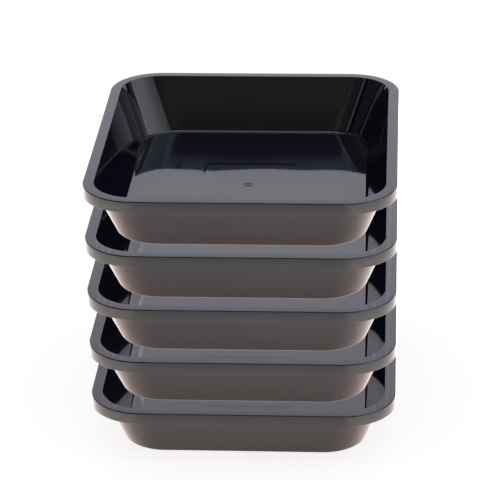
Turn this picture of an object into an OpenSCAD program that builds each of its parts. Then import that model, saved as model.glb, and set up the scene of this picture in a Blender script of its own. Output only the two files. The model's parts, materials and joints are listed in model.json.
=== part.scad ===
// Set of five identical plant trays, set out one above the other.
// Each tray is one moulding: a flat floor, four leaning walls with wide round corners,
// and a flat rim whose outer edge turns down as a skirt.
// +Z is up, the front is -Y, and the origin is under the middle of the lowest tray.

/* [Tray] */
// Width over the rim, left to right
tray_width = 300; // [260:1:400]
// Depth over the rim, front to back
tray_depth = 350; // [260:1:480]
// Height from the base to the top of the rim
tray_height = 56.5; // [40:0.5:90]
// Thickness of the plastic
wall = 2; // [1.6:0.1:3]
// How far each wall leans inwards between the rim and the floor
wall_run = 20.5; // [10:0.5:35]

/* [Rim] */
// Width of the top of the rim
rim_top = 11; // [8:0.5:16]
// How much lower the rim's outer edge is than its inner edge
rim_fall = 0.2; // [0.2:0.1:1.2]
// Height of the skirt, from the outer edge of the rim down
skirt_height = 11; // [8:0.5:16]
// How far the skirt spreads outwards towards its lower edge
skirt_spread = 0.4; // [0.1:0.1:1]
// Radius of the rim's long edges
edge_radius = 1; // [0.5:0.1:1.2]

/* [Corners] */
// Corner radius of the rim's outer edge, seen from above
rim_corner = 52; // [40:1:70]
// Corner radius of the floor, seen from above
floor_corner = 40; // [30:1:60]
// Radius between the floor and the walls, inside and outside
floor_radius = 3; // [2:0.5:6]
// Straight pieces in each quarter-round corner
corner_steps = 8; // [6:1:12]

/* [Floor] */
// Diameter of the moulding mark in the middle of the floor
gate_diameter = 8; // [6:0.5:12]
// Height of the moulding mark above the floor
gate_height = 0.4; // [0.2:0.1:0.8]

/* [Stack] */
// Height from one tray to the next
stack_pitch = 55.5; // [12:0.5:120]

/* [Hidden] */

PLASTIC = [0.10, 0.10, 0.13];

floor_top = wall;
lean = atan(wall_run / (tray_height - floor_top));
wall_across = wall / cos(lean);
fillet_reach = floor_radius * (1 - sin(lean)) / cos(lean);
skirt_bottom = tray_height - rim_fall - skirt_height;
rim_underside = tray_height - rim_fall - wall;
arc_steps = 3;

// Distance of the inner wall's face from the rim's outer edge at height z
function wall_inset(z) = rim_top + (tray_height - z) * tan(lean);

// Corner radius of the inner wall's face at height z
function wall_corner(z) =
    let (down = (tray_height - z) / (tray_height - floor_top))
    rim_corner - rim_top + (floor_corner - rim_corner + rim_top) * down;

// A ring of the wall: it keeps the same corner centres as the inner wall's face at its height
function wall_row(inset, z) = [inset, z, wall_corner(z) + wall_inset(z) - inset];

// A ring of the rim: it keeps the same corner centres as the rim's outer edge
function rim_row(inset, z) = [inset, z, rim_corner - inset];

function steps(from, to, count) = [for (i = [0:count]) from + (to - from) * i / count];

// Round between the underside of the base and the outer wall
function base_round() =
    let (inset = wall_inset(0) - wall_across + fillet_reach)
    [for (t = steps(-90, -lean, arc_steps))
        wall_row(inset - floor_radius * cos(t), floor_radius * (1 + sin(t)))];

// Round between the inner wall and the floor
function floor_round() =
    let (inset = wall_inset(floor_top) + fillet_reach)
    [for (t = steps(-lean, -90, arc_steps))
        wall_row(inset - floor_radius * cos(t), floor_top + floor_radius * (1 + sin(t)))];

// Outside of the rim: under its top, down inside the skirt, and up its outer face
function skirt_rows() =
    let (outer = skirt_spread + edge_radius, top = tray_height - rim_fall)
    concat(
        [wall_row(wall_inset(rim_underside) - wall_across, rim_underside),
         rim_row(wall + skirt_spread, rim_underside),
         rim_row(wall, skirt_bottom),
         rim_row(0, skirt_bottom)],
        [for (t = steps(180, 90, arc_steps))
            rim_row(outer + edge_radius * cos(t), top - edge_radius * (1 - sin(t)))]);

// Edge between the rim's top and the inner wall
function inner_edge() =
    [for (t = steps(90, 0, arc_steps))
        rim_row(rim_top - edge_radius * (1 - cos(t)), tray_height - edge_radius * (1 - sin(t)))];

function tray_rows() = concat(base_round(), skirt_rows(), inner_edge(), floor_round());

// One ring as points: a rectangle with quarter-round corners, anticlockwise from above
function ring_points(row) =
    let (r = row[2], cx = tray_width / 2 - row[0] - r, cy = tray_depth / 2 - row[0] - r)
    [for (corner = [0:3], i = [0:corner_steps])
        let (turn = corner * 90 + i * 90 / corner_steps,
             side_x = corner == 0 || corner == 3 ? 1 : -1,
             side_y = corner < 2 ? 1 : -1)
        [side_x * cx + r * cos(turn), side_y * cy + r * sin(turn), row[1]]];

// The bare moulding: a skin from the middle of the base, round the rim, to the floor
module moulding() {
    rows = tray_rows();
    count = 4 * (corner_steps + 1);
    last = (len(rows) - 1) * count;
    points = [for (row = rows) each ring_points(row)];
    sides = [for (k = [0:len(rows) - 2], i = [0:count - 1])
        let (a = k * count + i, b = k * count + (i + 1) % count)
        each [[a, a + count, b], [b, a + count, b + count]]];
    base_face = [for (i = [0:count - 1]) i];
    floor_face = [for (i = [count - 1:-1:0]) last + i];
    polyhedron(points, concat([base_face, floor_face], sides));
}

// Small round mark that the moulding gate leaves in the middle of the floor
module gate_mark() {
    translate([0, 0, floor_top - wall / 2])
        cylinder(h = wall / 2 + gate_height, d = gate_diameter, $fn = 32);
}

module tray(level) {
    color(PLASTIC)
        translate([0, 0, (level - 1) * stack_pitch]) {
            moulding();
            gate_mark();
        }
}

module tray_1() tray(1);
module tray_2() tray(2);
module tray_3() tray(3);
module tray_4() tray(4);
module tray_5() tray(5);

tray_1();
tray_2();
tray_3();
tray_4();
tray_5();
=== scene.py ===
import json
import math

import bpy
from mathutils import Matrix, Vector, noise

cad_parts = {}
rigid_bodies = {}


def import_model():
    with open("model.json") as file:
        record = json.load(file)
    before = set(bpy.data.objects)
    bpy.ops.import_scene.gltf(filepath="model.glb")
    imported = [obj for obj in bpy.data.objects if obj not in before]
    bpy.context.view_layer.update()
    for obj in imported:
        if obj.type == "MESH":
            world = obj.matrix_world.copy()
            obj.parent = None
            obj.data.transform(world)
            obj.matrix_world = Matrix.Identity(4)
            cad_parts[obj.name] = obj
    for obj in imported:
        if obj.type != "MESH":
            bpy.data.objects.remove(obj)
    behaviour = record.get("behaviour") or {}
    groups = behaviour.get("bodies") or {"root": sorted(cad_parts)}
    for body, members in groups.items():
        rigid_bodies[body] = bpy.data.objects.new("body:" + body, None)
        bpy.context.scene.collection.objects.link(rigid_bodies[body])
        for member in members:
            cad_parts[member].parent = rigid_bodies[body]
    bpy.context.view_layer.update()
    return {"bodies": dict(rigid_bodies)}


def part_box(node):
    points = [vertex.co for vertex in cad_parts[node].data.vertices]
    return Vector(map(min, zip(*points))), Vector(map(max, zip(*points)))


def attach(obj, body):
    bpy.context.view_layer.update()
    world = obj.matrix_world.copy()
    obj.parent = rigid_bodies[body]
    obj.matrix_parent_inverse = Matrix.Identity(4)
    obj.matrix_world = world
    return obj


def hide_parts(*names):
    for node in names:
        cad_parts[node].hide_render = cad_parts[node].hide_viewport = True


# Looks for a set of five identical plant trays, held one above the other.
#
# Each CAD tray is replaced by one smooth shell of the same moulding, lofted from rounded-rectangle
# rings: base, leaning walls, turned-down skirt, flat rim and floor. The plastic is a glossy navy
# black that mostly shows what it reflects, so each tray has its own set of studio panels. Among
# them are a bright table and backdrop, a soft box on the right and a dim side behind the camera.

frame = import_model()

MM = 0.001
BODIES = sorted(frame["bodies"])
LOW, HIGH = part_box(BODIES[0])

# The moulding, in millimetres, as in the CAD
WIDTH = (HIGH.x - LOW.x) / MM
DEPTH = (HIGH.y - LOW.y) / MM
HEIGHT = (HIGH.z - LOW.z) / MM
WALL = 2.0
WALL_RUN = 20.5
RIM_TOP = 11.0
RIM_FALL = 0.2
SKIRT_HEIGHT = 11.0
SKIRT_SPREAD = 0.4
EDGE_RADIUS = 1.0
RIM_CORNER = 52.0
FLOOR_CORNER = 40.0
FLOOR_RADIUS = 3.0

# How far the walls lean from upright
LEAN = math.atan(WALL_RUN / (HEIGHT - WALL))

# Edges that differ from the CAD's, in millimetres: the rim's inner edge, the rounds along the
# skirt's lower lip, and the bevels where the rim's underside meets the wall and the skirt
INNER_EDGE = 0.5
LIP_RADIUS = 0.45
BEVEL_ACROSS = 0.6
BEVEL_DOWN = 0.5
# The inside of the skirt above its lip: height over the lip's bottom, and how far it has drawn in
LIP_HEIGHT = 1.0
LIP_DRAFT = 0.05
# Degrees of arc left out between the rim's rounded edges and its top
EDGE_GAP = 3

# The low panel in the middle of the floor, which the CAD leaves out, in millimetres: half its width
# and depth, the radius of its corners, the width of its sloping edge, and its height
PANEL_HALF = 45.0, 52.0
PANEL_CORNER = 5.0
PANEL_RAMP = 1.8
PANEL_STEP = 0.12

# The moulding mark, in millimetres: the radius where the floor round it ends, the height of its
# ring, and the ring's section as radius and part of that height
MARK_EDGE = 5.2
MARK_HEIGHT = 0.40
MARK_SECTION = (
    (4.4, 0), (4.1, 0.35), (3.7, 0.85), (3.1, 1),
    (2.5, 0.85), (2.1, 0.4), (1.8, 0.25), (1.0, 0.25),
)

# Unevenness of the moulding, which the CAD leaves out, in millimetres
FLOOR_WAVE = 0.25
WAVE_SIZE = 62, 75
FLOOR_RIPPLE = 0.20
RIPPLE_LENGTH = 125.0
RIPPLE_PLACE = 42.0
WALL_CROWN = 0.30
SIDE_BOW = 0.35
# Where the skirt stands out furthest, as a part of its height
SKIRT_BELLY = 0.27
# The part of the way in from the walls over which the floor's unevenness sets in
FLOOR_FADE = 0.25
# Where the sides' bow sets in: height as a part of the tray's, and distance out as a part of its size
BOW_HEIGHT = 0.2
BOW_ZONE = 0.3, 0.45
# Only the top of the floor is uneven, not the base under it or the walls: this sets in between two
# parts of the floor's thickness, and applies up to this many millimetres over the floor
FLOOR_ZONE = 0.5, 0.9
FLOOR_LIMIT = 1
# The noise that makes the floor's waves is cut at this place for the first tray, and this much on
# for each of the next
FIRST_SEED = 1.7
SEED_STEP = 7.3


def spread(start, end, count):
    """count + 1 evenly spaced values from start to end."""
    return [start + (end - start) * i / count for i in range(count + 1)]


def smooth_step(x, low, high):
    s = min(1.0, max(0.0, (x - low) / (high - low)))
    return s * s * (3 - 2 * s)


# How finely the shell is cut
CORNER_STEPS = 20
SIDE_STEPS = 18
ROUND_STEPS = 6
INNER_EDGE_STEPS = 5
LIP_STEPS = 3
OUTER_WALL_STEPS = 9
# Millimetres from the round under the outer wall to the wall's first ring
FIRST_RING = 0.6
# Places of rings, as parts of the way across the base, the skirt, the rim, the inner wall, the floor
# outside the panel, the panel's edge and the panel
BASE_PLACES = 0.3, 0.7, 0.97
SKIRT_PLACES = 0.06, 0.2, 0.35, 0.5, 0.65, 0.8, 0.94
RIM_PLACES = 0.06, 0.25, 0.5, 0.75, 0.94
WALL_PLACES = spread(0.02, 0.98, 14)
FLOOR_PLACES = 0.01, 0.04, *spread(0.09, 1, 13)
RAMP_PLACES = 0.25, 0.5, 0.75, 1
PANEL_PLACES = 0.04, *spread(0.12, 1, 9)


# A row is one ring of the moulding's section: inset from the rim's outer edge, height, corner
# radius. All are in millimetres.


def wall_inset(z):
    """Distance of the inner wall's face from the rim's outer edge."""
    return RIM_TOP + (HEIGHT - z) * math.tan(LEAN)


def wall_row(inset, z):
    """Row of a wall, with the corner centres that the inner face has at its height."""
    down = (HEIGHT - z) / (HEIGHT - WALL)
    corner = RIM_CORNER - RIM_TOP + (FLOOR_CORNER - RIM_CORNER + RIM_TOP) * down
    return inset, z, corner + wall_inset(z) - inset


def rim_row(inset, z):
    """Row of the rim, with the corner centres of its outer edge."""
    return inset, z, RIM_CORNER - inset


def round_rows(make, inset, z, radius, start, end, count):
    """Rows round an edge, its arc's centre at (inset, z). Angles are in degrees, 0 is outwards."""
    turns = [math.radians(t) for t in spread(start, end, count)]
    return [make(inset - radius * math.cos(t), z + radius * math.sin(t)) for t in turns]


def shell_rows():
    """The moulding's section, from the edge of the base, round the rim, to the edge of the floor."""
    lean = math.degrees(LEAN)
    across = WALL / math.cos(LEAN)
    tangent = (1 - math.sin(LEAN)) / math.cos(LEAN)
    reach = FLOOR_RADIUS * tangent
    top = HEIGHT - RIM_FALL
    under = top - WALL
    bottom = top - SKIRT_HEIGHT
    shoulder = top - EDGE_RADIUS

    # Edge of the base, outer wall, bevel under the rim
    base = wall_inset(0) - across + reach
    rows = round_rows(wall_row, base, FLOOR_RADIUS, FLOOR_RADIUS, -90, -lean, ROUND_STEPS)
    for z in spread(rows[-1][1] + FIRST_RING, under - 2 * BEVEL_DOWN, OUTER_WALL_STEPS):
        rows.append(wall_row(wall_inset(z) - across, z))
    for s in (0, 0.5, 1):
        inset = wall_inset(under) - across - BEVEL_ACROSS * s
        rows.append(wall_row(inset, under - BEVEL_DOWN * (1 - s)))

    # Inside of the skirt, its lip, its face
    rows.append(rim_row(WALL + SKIRT_SPREAD + BEVEL_ACROSS, under))
    rows.append(rim_row(WALL + SKIRT_SPREAD, under - BEVEL_DOWN))
    rows.append(rim_row(WALL + LIP_DRAFT, bottom + LIP_HEIGHT))
    for inset, start, end in ((WALL - LIP_RADIUS, -180, -90), (LIP_RADIUS, -90, 0)):
        rows += round_rows(rim_row, inset, bottom + LIP_RADIUS, LIP_RADIUS, start, end, LIP_STEPS)
    for s in SKIRT_PLACES:
        lean_in = SKIRT_SPREAD * ((s - SKIRT_BELLY) / (1 - SKIRT_BELLY)) ** 2
        rows.append(rim_row(lean_in, bottom + LIP_RADIUS + (shoulder - bottom - LIP_RADIUS) * s))

    # Outer edge, top and inner edge of the rim
    first, last = SKIRT_SPREAD + EDGE_RADIUS, RIM_TOP - INNER_EDGE * tangent
    rows += round_rows(rim_row, first, shoulder, EDGE_RADIUS, 0, 90 - EDGE_GAP, ROUND_STEPS)
    rows += [rim_row(first + (last - first) * s, top + RIM_FALL * s * (2 - s)) for s in RIM_PLACES]
    rows += round_rows(
        rim_row, last, HEIGHT - INNER_EDGE, INNER_EDGE, 90 + EDGE_GAP, 180 - lean, INNER_EDGE_STEPS
    )

    # Inner wall, slightly crowned, and the round at the floor
    foot = wall_inset(WALL) + reach
    centre = WALL + FLOOR_RADIUS
    floor_edge = round_rows(wall_row, foot, centre, FLOOR_RADIUS, -lean, -90, ROUND_STEPS)
    high, low = rows[-1][1], floor_edge[0][1]
    for s in WALL_PLACES:
        z = high + (low - high) * s
        rows.append(wall_row(wall_inset(z) + 4 * WALL_CROWN * s * (1 - s), z))
    return rows + floor_edge


def ring(half_x, half_y, corner, z):
    """Points of a rounded rectangle, anticlockwise from above, each side cut into even steps."""
    arcs = []
    for k, (sx, sy) in enumerate(((1, 1), (-1, 1), (-1, -1), (1, -1))):
        cx, cy = sx * (half_x - corner), sy * (half_y - corner)
        arc = []
        for i in range(CORNER_STEPS + 1):
            t = math.radians(90 * k + 90 * i / CORNER_STEPS)
            arc.append(Vector((cx + corner * math.cos(t), cy + corner * math.sin(t), z)))
        arcs.append(arc)
    points = []
    for arc, following in zip(arcs, arcs[1:] + arcs[:1]):
        points += arc + [arc[-1].lerp(following[0], i / SIDE_STEPS) for i in range(1, SIDE_STEPS)]
    return points


def section_ring(row):
    inset, z, corner = row
    return ring(WIDTH / 2 - inset, DEPTH / 2 - inset, corner, z)


def blended(start, end, places):
    """Rings part of the way from one ring to another."""
    return [[a.lerp(b, s) for a, b in zip(start, end)] for s in places]


def floor_rings():
    """Rings of the floor from its edge to the moulding mark: a low oblong panel, then circles."""
    inset, _, corner = shell_rows()[-1]
    panel_top = WALL + PANEL_STEP
    edge = section_ring((inset, WALL, corner))
    outside = ring(*(half + PANEL_RAMP for half in PANEL_HALF), PANEL_CORNER + PANEL_RAMP, WALL)
    inside = ring(*PANEL_HALF, PANEL_CORNER, panel_top)
    rings = blended(edge, outside, FLOOR_PLACES)
    for s, sloping in zip(RAMP_PLACES, blended(outside, inside, RAMP_PLACES)):
        z = WALL + PANEL_STEP * smooth_step(s, 0, 1)
        rings.append([Vector((p.x, p.y, z)) for p in sloping])
    circle = [p.to_2d().normalized() for p in inside]
    mark_edge = [Vector((c.x, c.y, 0)) * MARK_EDGE + Vector((0, 0, panel_top)) for c in circle]
    rings += blended(inside, mark_edge, PANEL_PLACES)
    for radius, rise in MARK_SECTION:
        z = panel_top + MARK_HEIGHT * rise
        rings.append([Vector((c.x * radius, c.y * radius, z)) for c in circle])
    return rings


def floor_swell(x, y, seed):
    """How far the floor is raised at a place. It is level where the walls begin."""
    inside_x = 1 - abs(x) / (WIDTH / 2 - RIM_TOP - WALL_RUN)
    inside_y = 1 - abs(y) / (DEPTH / 2 - RIM_TOP - WALL_RUN)
    fade = smooth_step(inside_x, 0.0, FLOOR_FADE) * smooth_step(inside_y, 0.0, FLOOR_FADE)
    wave = FLOOR_WAVE * noise.noise(Vector((x / WAVE_SIZE[0], y / WAVE_SIZE[1], seed)))
    ripple = FLOOR_RIPPLE * math.sin(2 * math.pi * (y - RIPPLE_PLACE) / RIPPLE_LENGTH)
    return (wave + ripple) * fade


def bent(point, seed):
    """A little unevenness, as a real moulding has: a wavy floor, and sides that bow in slightly."""
    x, y, z = point
    if z < WALL + FLOOR_LIMIT:
        low, high = (part * WALL for part in FLOOR_ZONE)
        z += floor_swell(x, y, seed) * smooth_step(z, low, high)
    bow = SIDE_BOW * smooth_step(z, BOW_HEIGHT * HEIGHT, HEIGHT)
    mid_x = 1 - min(1.0, (2 * x / WIDTH) ** 2)
    mid_y = 1 - min(1.0, (2 * y / DEPTH) ** 2)
    x -= math.copysign(bow * mid_y * smooth_step(abs(x) / WIDTH, *BOW_ZONE), x)
    y -= math.copysign(bow * mid_x * smooth_step(abs(y) / DEPTH, *BOW_ZONE), y)
    return Vector((x, y, z))


def tray_mesh(name, seed):
    """One closed shell in metres, standing on z = 0."""
    section = [section_ring(row) for row in shell_rows()]
    base = [[Vector((p.x * s, p.y * s, 0)) for p in section[0]] for s in BASE_PLACES]
    rings = base + section + floor_rings()
    points = [bent(p, seed) * MM for line in rings for p in line]
    foot, crown = len(points), len(points) + 1
    mark_top = Vector((0, 0, WALL + PANEL_STEP + MARK_HEIGHT * MARK_SECTION[-1][1]))
    points += [Vector((0, 0, 0)), bent(mark_top, seed) * MM]

    count = len(section[0])
    last = (len(rings) - 1) * count
    pairs = [(i, (i + 1) % count) for i in range(count)]
    faces = [
        (k + i, k + j, k + j + count, k + i + count)
        for k in range(0, last, count)
        for i, j in pairs
    ]
    for i, j in pairs:
        faces += [(j, i, foot), (last + i, last + j, crown)]

    mesh = bpy.data.meshes.new(name)
    mesh.from_pydata([tuple(p) for p in points], [], faces)
    mesh.validate()
    mesh.update()
    mesh.polygons.foreach_set("use_smooth", [True] * len(mesh.polygons))
    return mesh


def ramp(tree, stops):
    """A ColorRamp. A stop is a place and either a colour or a single number for a grey."""
    node = tree.nodes.new("ShaderNodeValToRGB")
    elements = node.color_ramp.elements
    while len(elements) < len(stops):
        elements.new(0.5)
    for element, (place, shade) in zip(elements, stops):
        colour = shade if isinstance(shade, tuple) else (shade,) * 3
        element.position = place
        element.color = (*colour, 1)
    return node


def math_node(tree, operation, first, second=None):
    """The value of a Math node. Its inputs are numbers or other nodes' outputs."""
    node = tree.nodes.new("ShaderNodeMath")
    node.operation = operation
    for socket, value in zip(node.inputs, (first, second)):
        if isinstance(value, float):
            socket.default_value = value
        elif value:
            tree.links.new(value, socket)
    return node.outputs["Value"]


def plastic():
    """Glossy navy-black plastic: flow marks, gloss rubbed in places, drag lines up the walls."""
    material = bpy.data.materials.new("tray_plastic")
    material.use_nodes = True
    tree = material.node_tree
    nodes, links = tree.nodes, tree.links
    nodes.clear()
    out = nodes.new("ShaderNodeOutputMaterial")
    shader = nodes.new("ShaderNodeBsdfPrincipled")
    shader.inputs["IOR"].default_value = 1.49
    links.new(shader.outputs["BSDF"], out.inputs["Surface"])
    place = nodes.new("ShaderNodeTexCoord")

    def speckle(scale, detail, stretch=(1, 1, 1), rough=0.5):
        mapping = nodes.new("ShaderNodeMapping")
        mapping.inputs["Scale"].default_value = stretch
        links.new(place.outputs["Object"], mapping.inputs["Vector"])
        node = nodes.new("ShaderNodeTexNoise")
        node.inputs["Scale"].default_value = scale
        node.inputs["Detail"].default_value = detail
        node.inputs["Roughness"].default_value = rough
        links.new(mapping.outputs["Vector"], node.inputs["Vector"])
        return node.outputs["Fac"]

    def bump(height, strength, distance, under=None):
        node = nodes.new("ShaderNodeBump")
        node.inputs["Strength"].default_value = strength
        node.inputs["Distance"].default_value = distance
        links.new(height, node.inputs["Height"])
        if under:
            links.new(under, node.inputs["Normal"])
        return node.outputs["Normal"]

    flow = ramp(tree, [(0.3, (0.0025, 0.0025, 0.0050)), (0.7, (0.0040, 0.0039, 0.0070))])
    links.new(speckle(scale=9, detail=4), flow.inputs["Fac"])
    links.new(flow.outputs["Color"], shader.inputs["Base Color"])

    gloss = ramp(tree, [(0.25, 0.022), (0.75, 0.055)])
    links.new(speckle(scale=30, detail=6, rough=0.6), gloss.inputs["Fac"])
    links.new(gloss.outputs["Color"], shader.inputs["Roughness"])

    drag_lines = speckle(scale=260, detail=3, stretch=(1, 1, 0.03))
    drag = bump(drag_lines, strength=0.022, distance=0.0004)
    skin = bump(speckle(scale=48, detail=2), strength=0.04, distance=0.0005, under=drag)
    links.new(skin, shader.inputs["Normal"])
    return material


def build_trays():
    finish = plastic()
    for number, body in enumerate(BODIES):
        low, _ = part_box(body)
        name = body + "_moulding"
        tray = bpy.data.objects.new(name, tray_mesh(name, number * SEED_STEP + FIRST_SEED))
        bpy.context.scene.collection.objects.link(tray)
        tray.location = (0, 0, low.z)
        tray.data.materials.append(finish)
        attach(tray, body)
        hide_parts(body)
        light_tray(tray, low.z)


# The studio's table, in metres: half its side, and its top, just clear of the lowest tray's base
TABLE_HALF = 8.0
TABLE_TOP = -0.0003


def stage_floor():
    """A plain white table, lit from inside like a light table, large enough to fill the view."""
    corners = ((-1, -1), (1, -1), (1, 1), (-1, 1))
    points = [(x * TABLE_HALF, y * TABLE_HALF, TABLE_TOP) for x, y in corners]
    mesh = bpy.data.meshes.new("floor")
    mesh.from_pydata(points, [], [(0, 1, 2, 3)])
    floor = bpy.data.objects.new("floor", mesh)
    bpy.context.scene.collection.objects.link(floor)
    material = bpy.data.materials.new("floor")
    material.use_nodes = True
    shader = material.node_tree.nodes["Principled BSDF"]
    shader.inputs["Base Color"].default_value = (0.90, 0.89, 0.885, 1)
    shader.inputs["Roughness"].default_value = 0.9
    shader.inputs["Emission Color"].default_value = (1.0, 0.992, 0.985, 1)
    shader.inputs["Emission Strength"].default_value = 0.80
    mesh.materials.append(material)
    floor.visible_glossy = False


# How brightly the world lights matt surfaces. The camera sees it at 1.
WORLD_LIGHT = 0.30


def studio_world():
    """Even pale light on the table and in the view beyond it. Glossy reflections don't see it."""
    world = bpy.data.worlds.new("studio")
    bpy.context.scene.world = world
    world.use_nodes = True
    tree = world.node_tree
    tree.nodes.clear()
    out = tree.nodes.new("ShaderNodeOutputWorld")
    back = tree.nodes.new("ShaderNodeBackground")
    back.inputs["Color"].default_value = (1.0, 0.995, 0.99, 1)
    path = tree.nodes.new("ShaderNodeLightPath")
    diffuse = math_node(tree, "MULTIPLY", path.outputs["Is Diffuse Ray"], WORLD_LIGHT)
    level = math_node(tree, "ADD", diffuse, path.outputs["Is Camera Ray"])
    tree.links.new(level, back.inputs["Strength"])
    tree.links.new(back.outputs["Background"], out.inputs["Surface"])


# Light panels round a tray, in metres: place and aim from the middle of its base, size, brightness,
# colour
PANELS = {
    "table": ((0, 0, -0.002), (0, 0, 1), (5.0, 5.0), 2.1, (1.0, 1.0, 1.0)),
    "back": ((0, 2.2, 1.4), (0, 0, 1.4), (5.6, 2.8), 1.19, (0.975, 0.97, 1.10)),
    "top": ((0, 0.6, 2.8), (0, 0.6, 0), (5.6, 3.2), 0.33, (1.0, 1.0, 1.03)),
    "soft_box": ((2.01, -0.895, 1.12), (0, 0, 1.12), (3.6, 2.2), 2.1, (0.985, 0.96, 1.03)),
    "right": ((2.6, 0.84, 0.55), (0, 0, 0.55), (0.9, 1.1), 0.24, (1.0, 1.0, 1.02)),
    "left": ((-2.8, 0.4, 1.9), (0, 0.4, 1.9), (3.6, 1.8), 0.12, (1.0, 1.0, 1.02)),
    "left_low": ((-2.8, 0.2, 0.5), (0, 0.2, 0.5), (3.0, 0.8), 0.30, (1.0, 1.0, 1.04)),
    "front": ((0, -3.4, 1.5), (0, 0, 1.5), (6.0, 3.0), 0.28, (1.0, 0.97, 0.95)),
    "skylight": ((0.32, 0.04, 1.0), (0.32, 0.04, 0), (1.0, 0.98), 3.4, (0.66, 0.74, 1.0)),
    "slit": ((-0.6, -2.43, 1.1), (0, 0, 1.1), (0.12, 2.0), 0.30, (0.95, 0.98, 1.05)),
    "side_slit": ((-1.89, -1.64, 1.1), (0, 0, 1.1), (0.34, 2.0), 0.68, (0.92, 0.94, 1.12)),
}

# The table panel's colour by distance from the edge of the tray's foot, and its strength by distance
# to either side of the tray's middle, in metres. The dimmer colour close to the foot is painted
# shade:
# it stands for the tray's own shadow on the table, which the outer walls reflect
TABLE_GLOW = [
    (0.0, (0.60, 0.48, 0.44)),
    (0.045, (0.84, 0.755, 0.71)),
    (0.10, (1.0, 0.91, 0.87)),
    (0.25, (0.76, 0.70, 0.68)),
    (0.5, (0.595, 0.55, 0.60)),
]
TABLE_REACH = 0.0, 0.5
SIDE_RISE = {"From Min": 0.09, "From Max": 0.17, "To Min": 1.0, "To Max": 1.55}

# The skylight's brightness by distance in metres behind the tray's middle. Minus is in front of it.
SKY_GLOW = [
    (-0.44, 0.12), (-0.37, 0.18), (-0.335, 0.30), (-0.305, 0.63),
    (-0.27, 1.0), (-0.19, 1.0), (-0.13, 0.55),
]
SKY_REACH = -0.45, 0.32

# The front panel's brightness by height in metres above the tray's foot
FRONT_GLOW = [(0.94, 0.04), (1.12, 0.50), (1.35, 0.95), (2.0, 0.6)]
FRONT_REACH = 0.0, 3.0

# The soft box's brightness by azimuth in degrees to the right of the front
BOX_GLOW = [(26, 0.33), (32, 0.39), (45, 0.60), (58, 0.80), (73, 0.985), (86, 1.0), (101, 0.95)]
BOX_REACH = 0.0, 180.0


def graded(tree, value, reach, stops):
    """Colour by a value. The ramp covers the values in reach. A stop is a value and its shade."""
    start, end = reach
    value = math_node(tree, "SUBTRACT", value, start)
    value = math_node(tree, "DIVIDE", value, end - start)
    shade = ramp(tree, [((at - start) / (end - start), colour) for at, colour in stops])
    tree.links.new(value, shade.inputs["Fac"])
    return shade.outputs["Color"]


def table_glow(tree, x, y, strength):
    """The table panel's colour, with painted shade close to the tray's foot. It also drives the
    panel's strength, which rises beside the tray.
    """
    beside = tree.nodes.new("ShaderNodeMapRange")
    beside.interpolation_type = "SMOOTHSTEP"
    for socket, number in SIDE_RISE.items():
        beside.inputs[socket].default_value = number
    tree.links.new(math_node(tree, "ABSOLUTE", x), beside.inputs["Value"])
    tree.links.new(beside.outputs["Result"], strength)
    away = []
    for axis, size in ((x, WIDTH), (y, DEPTH)):
        foot = (size / 2 - RIM_TOP - WALL_RUN) * MM
        away.append(math_node(tree, "SUBTRACT", math_node(tree, "ABSOLUTE", axis), foot))
    return graded(tree, math_node(tree, "MAXIMUM", *away), TABLE_REACH, TABLE_GLOW)


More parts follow.
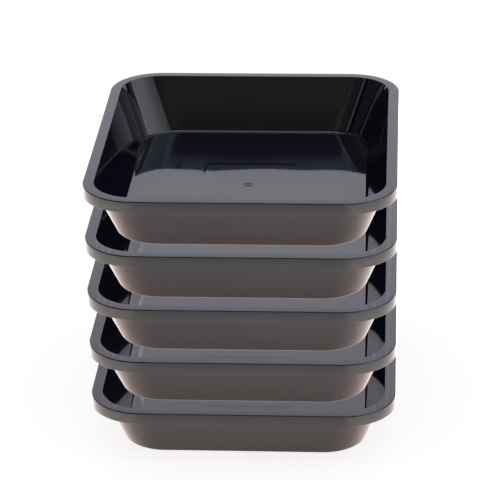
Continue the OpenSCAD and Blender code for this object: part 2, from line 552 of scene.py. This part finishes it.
def shade_panel(light, name, base):
    """Grades the four panels that aren't even: table, skylight, front and soft box."""
    if name not in ("table", "skylight", "front", "soft_box"):
        return
    light.use_nodes = True
    tree = light.node_tree
    emission = tree.nodes["Emission"]
    place = tree.nodes.new("ShaderNodeNewGeometry")
    axes = tree.nodes.new("ShaderNodeSeparateXYZ")
    tree.links.new(place.outputs["Position"], axes.inputs["Vector"])
    x, y, z = (axes.outputs[axis] for axis in "XYZ")
    if name == "table":
        colour = table_glow(tree, x, y, emission.inputs["Strength"])
    elif name == "skylight":
        colour = graded(tree, y, SKY_REACH, SKY_GLOW)
    elif name == "front":
        colour = graded(tree, math_node(tree, "SUBTRACT", z, base), FRONT_REACH, FRONT_GLOW)
    else:
        turned = math_node(tree, "ARCTAN2", x, math_node(tree, "MULTIPLY", y, -1.0))
        colour = graded(tree, math_node(tree, "DEGREES", turned), BOX_REACH, BOX_GLOW)
    tree.links.new(colour, emission.inputs["Color"])


def light_tray(piece, base):
    """Lights that reach one tray and that only it blocks, as if it stood in the studio alone."""
    group = bpy.data.collections.new("lit_" + piece.name)
    group.objects.link(piece)
    for name, (place, aim, size, level, colour) in PANELS.items():
        light = bpy.data.lights.new(f"{name}_{piece.name}", "AREA")
        light.shape = "RECTANGLE"
        light.size, light.size_y = size
        light.energy = level * math.pi * size[0] * size[1]
        light.color = colour
        shade_panel(light, name, base)
        lamp = bpy.data.objects.new(light.name, light)
        bpy.context.scene.collection.objects.link(lamp)
        lamp.location = Vector(place) + Vector((0, 0, base))
        lamp.rotation_euler = (Vector(aim) - Vector(place)).to_track_quat("-Z", "Y").to_euler()
        lamp.visible_camera = False
        lamp.light_linking.receiver_collection = group
        lamp.light_linking.blocker_collection = group


# The camera: lens and sensor in millimetres, angles in degrees, far limit of the view in metres, and
# distance and target in tray widths
LENS = 191.625
SENSOR = 36
YAW, PITCH, ROLL = 3.98, 23.93, -1.03
FAR = 60
DISTANCE = 8.590
TARGET = -0.0305, 0, 0.5445


def camera():
    """The view: a long lens, a little to the right of the front, looking down at about 24 degrees."""
    width = WIDTH * MM
    yaw, pitch, roll = (math.radians(a) for a in (YAW, PITCH, ROLL))
    away = math.cos(pitch)
    back = Vector((math.sin(yaw) * away, -math.cos(yaw) * away, math.sin(pitch)))
    data = bpy.data.cameras.new("camera")
    data.sensor_width = SENSOR
    data.lens = LENS
    data.clip_end = FAR
    cam = bpy.data.objects.new("camera", data)
    bpy.context.scene.collection.objects.link(cam)
    turn = (-back).to_track_quat("-Z", "Y").to_matrix().to_4x4() @ Matrix.Rotation(roll, 4, "Z")
    cam.matrix_world = Matrix.Translation(Vector(TARGET) * width + back * DISTANCE * width) @ turn
    bpy.context.scene.camera = cam


build_trays()
stage_floor()
studio_world()
camera()
bpy.context.scene.view_settings.view_transform = "Standard"
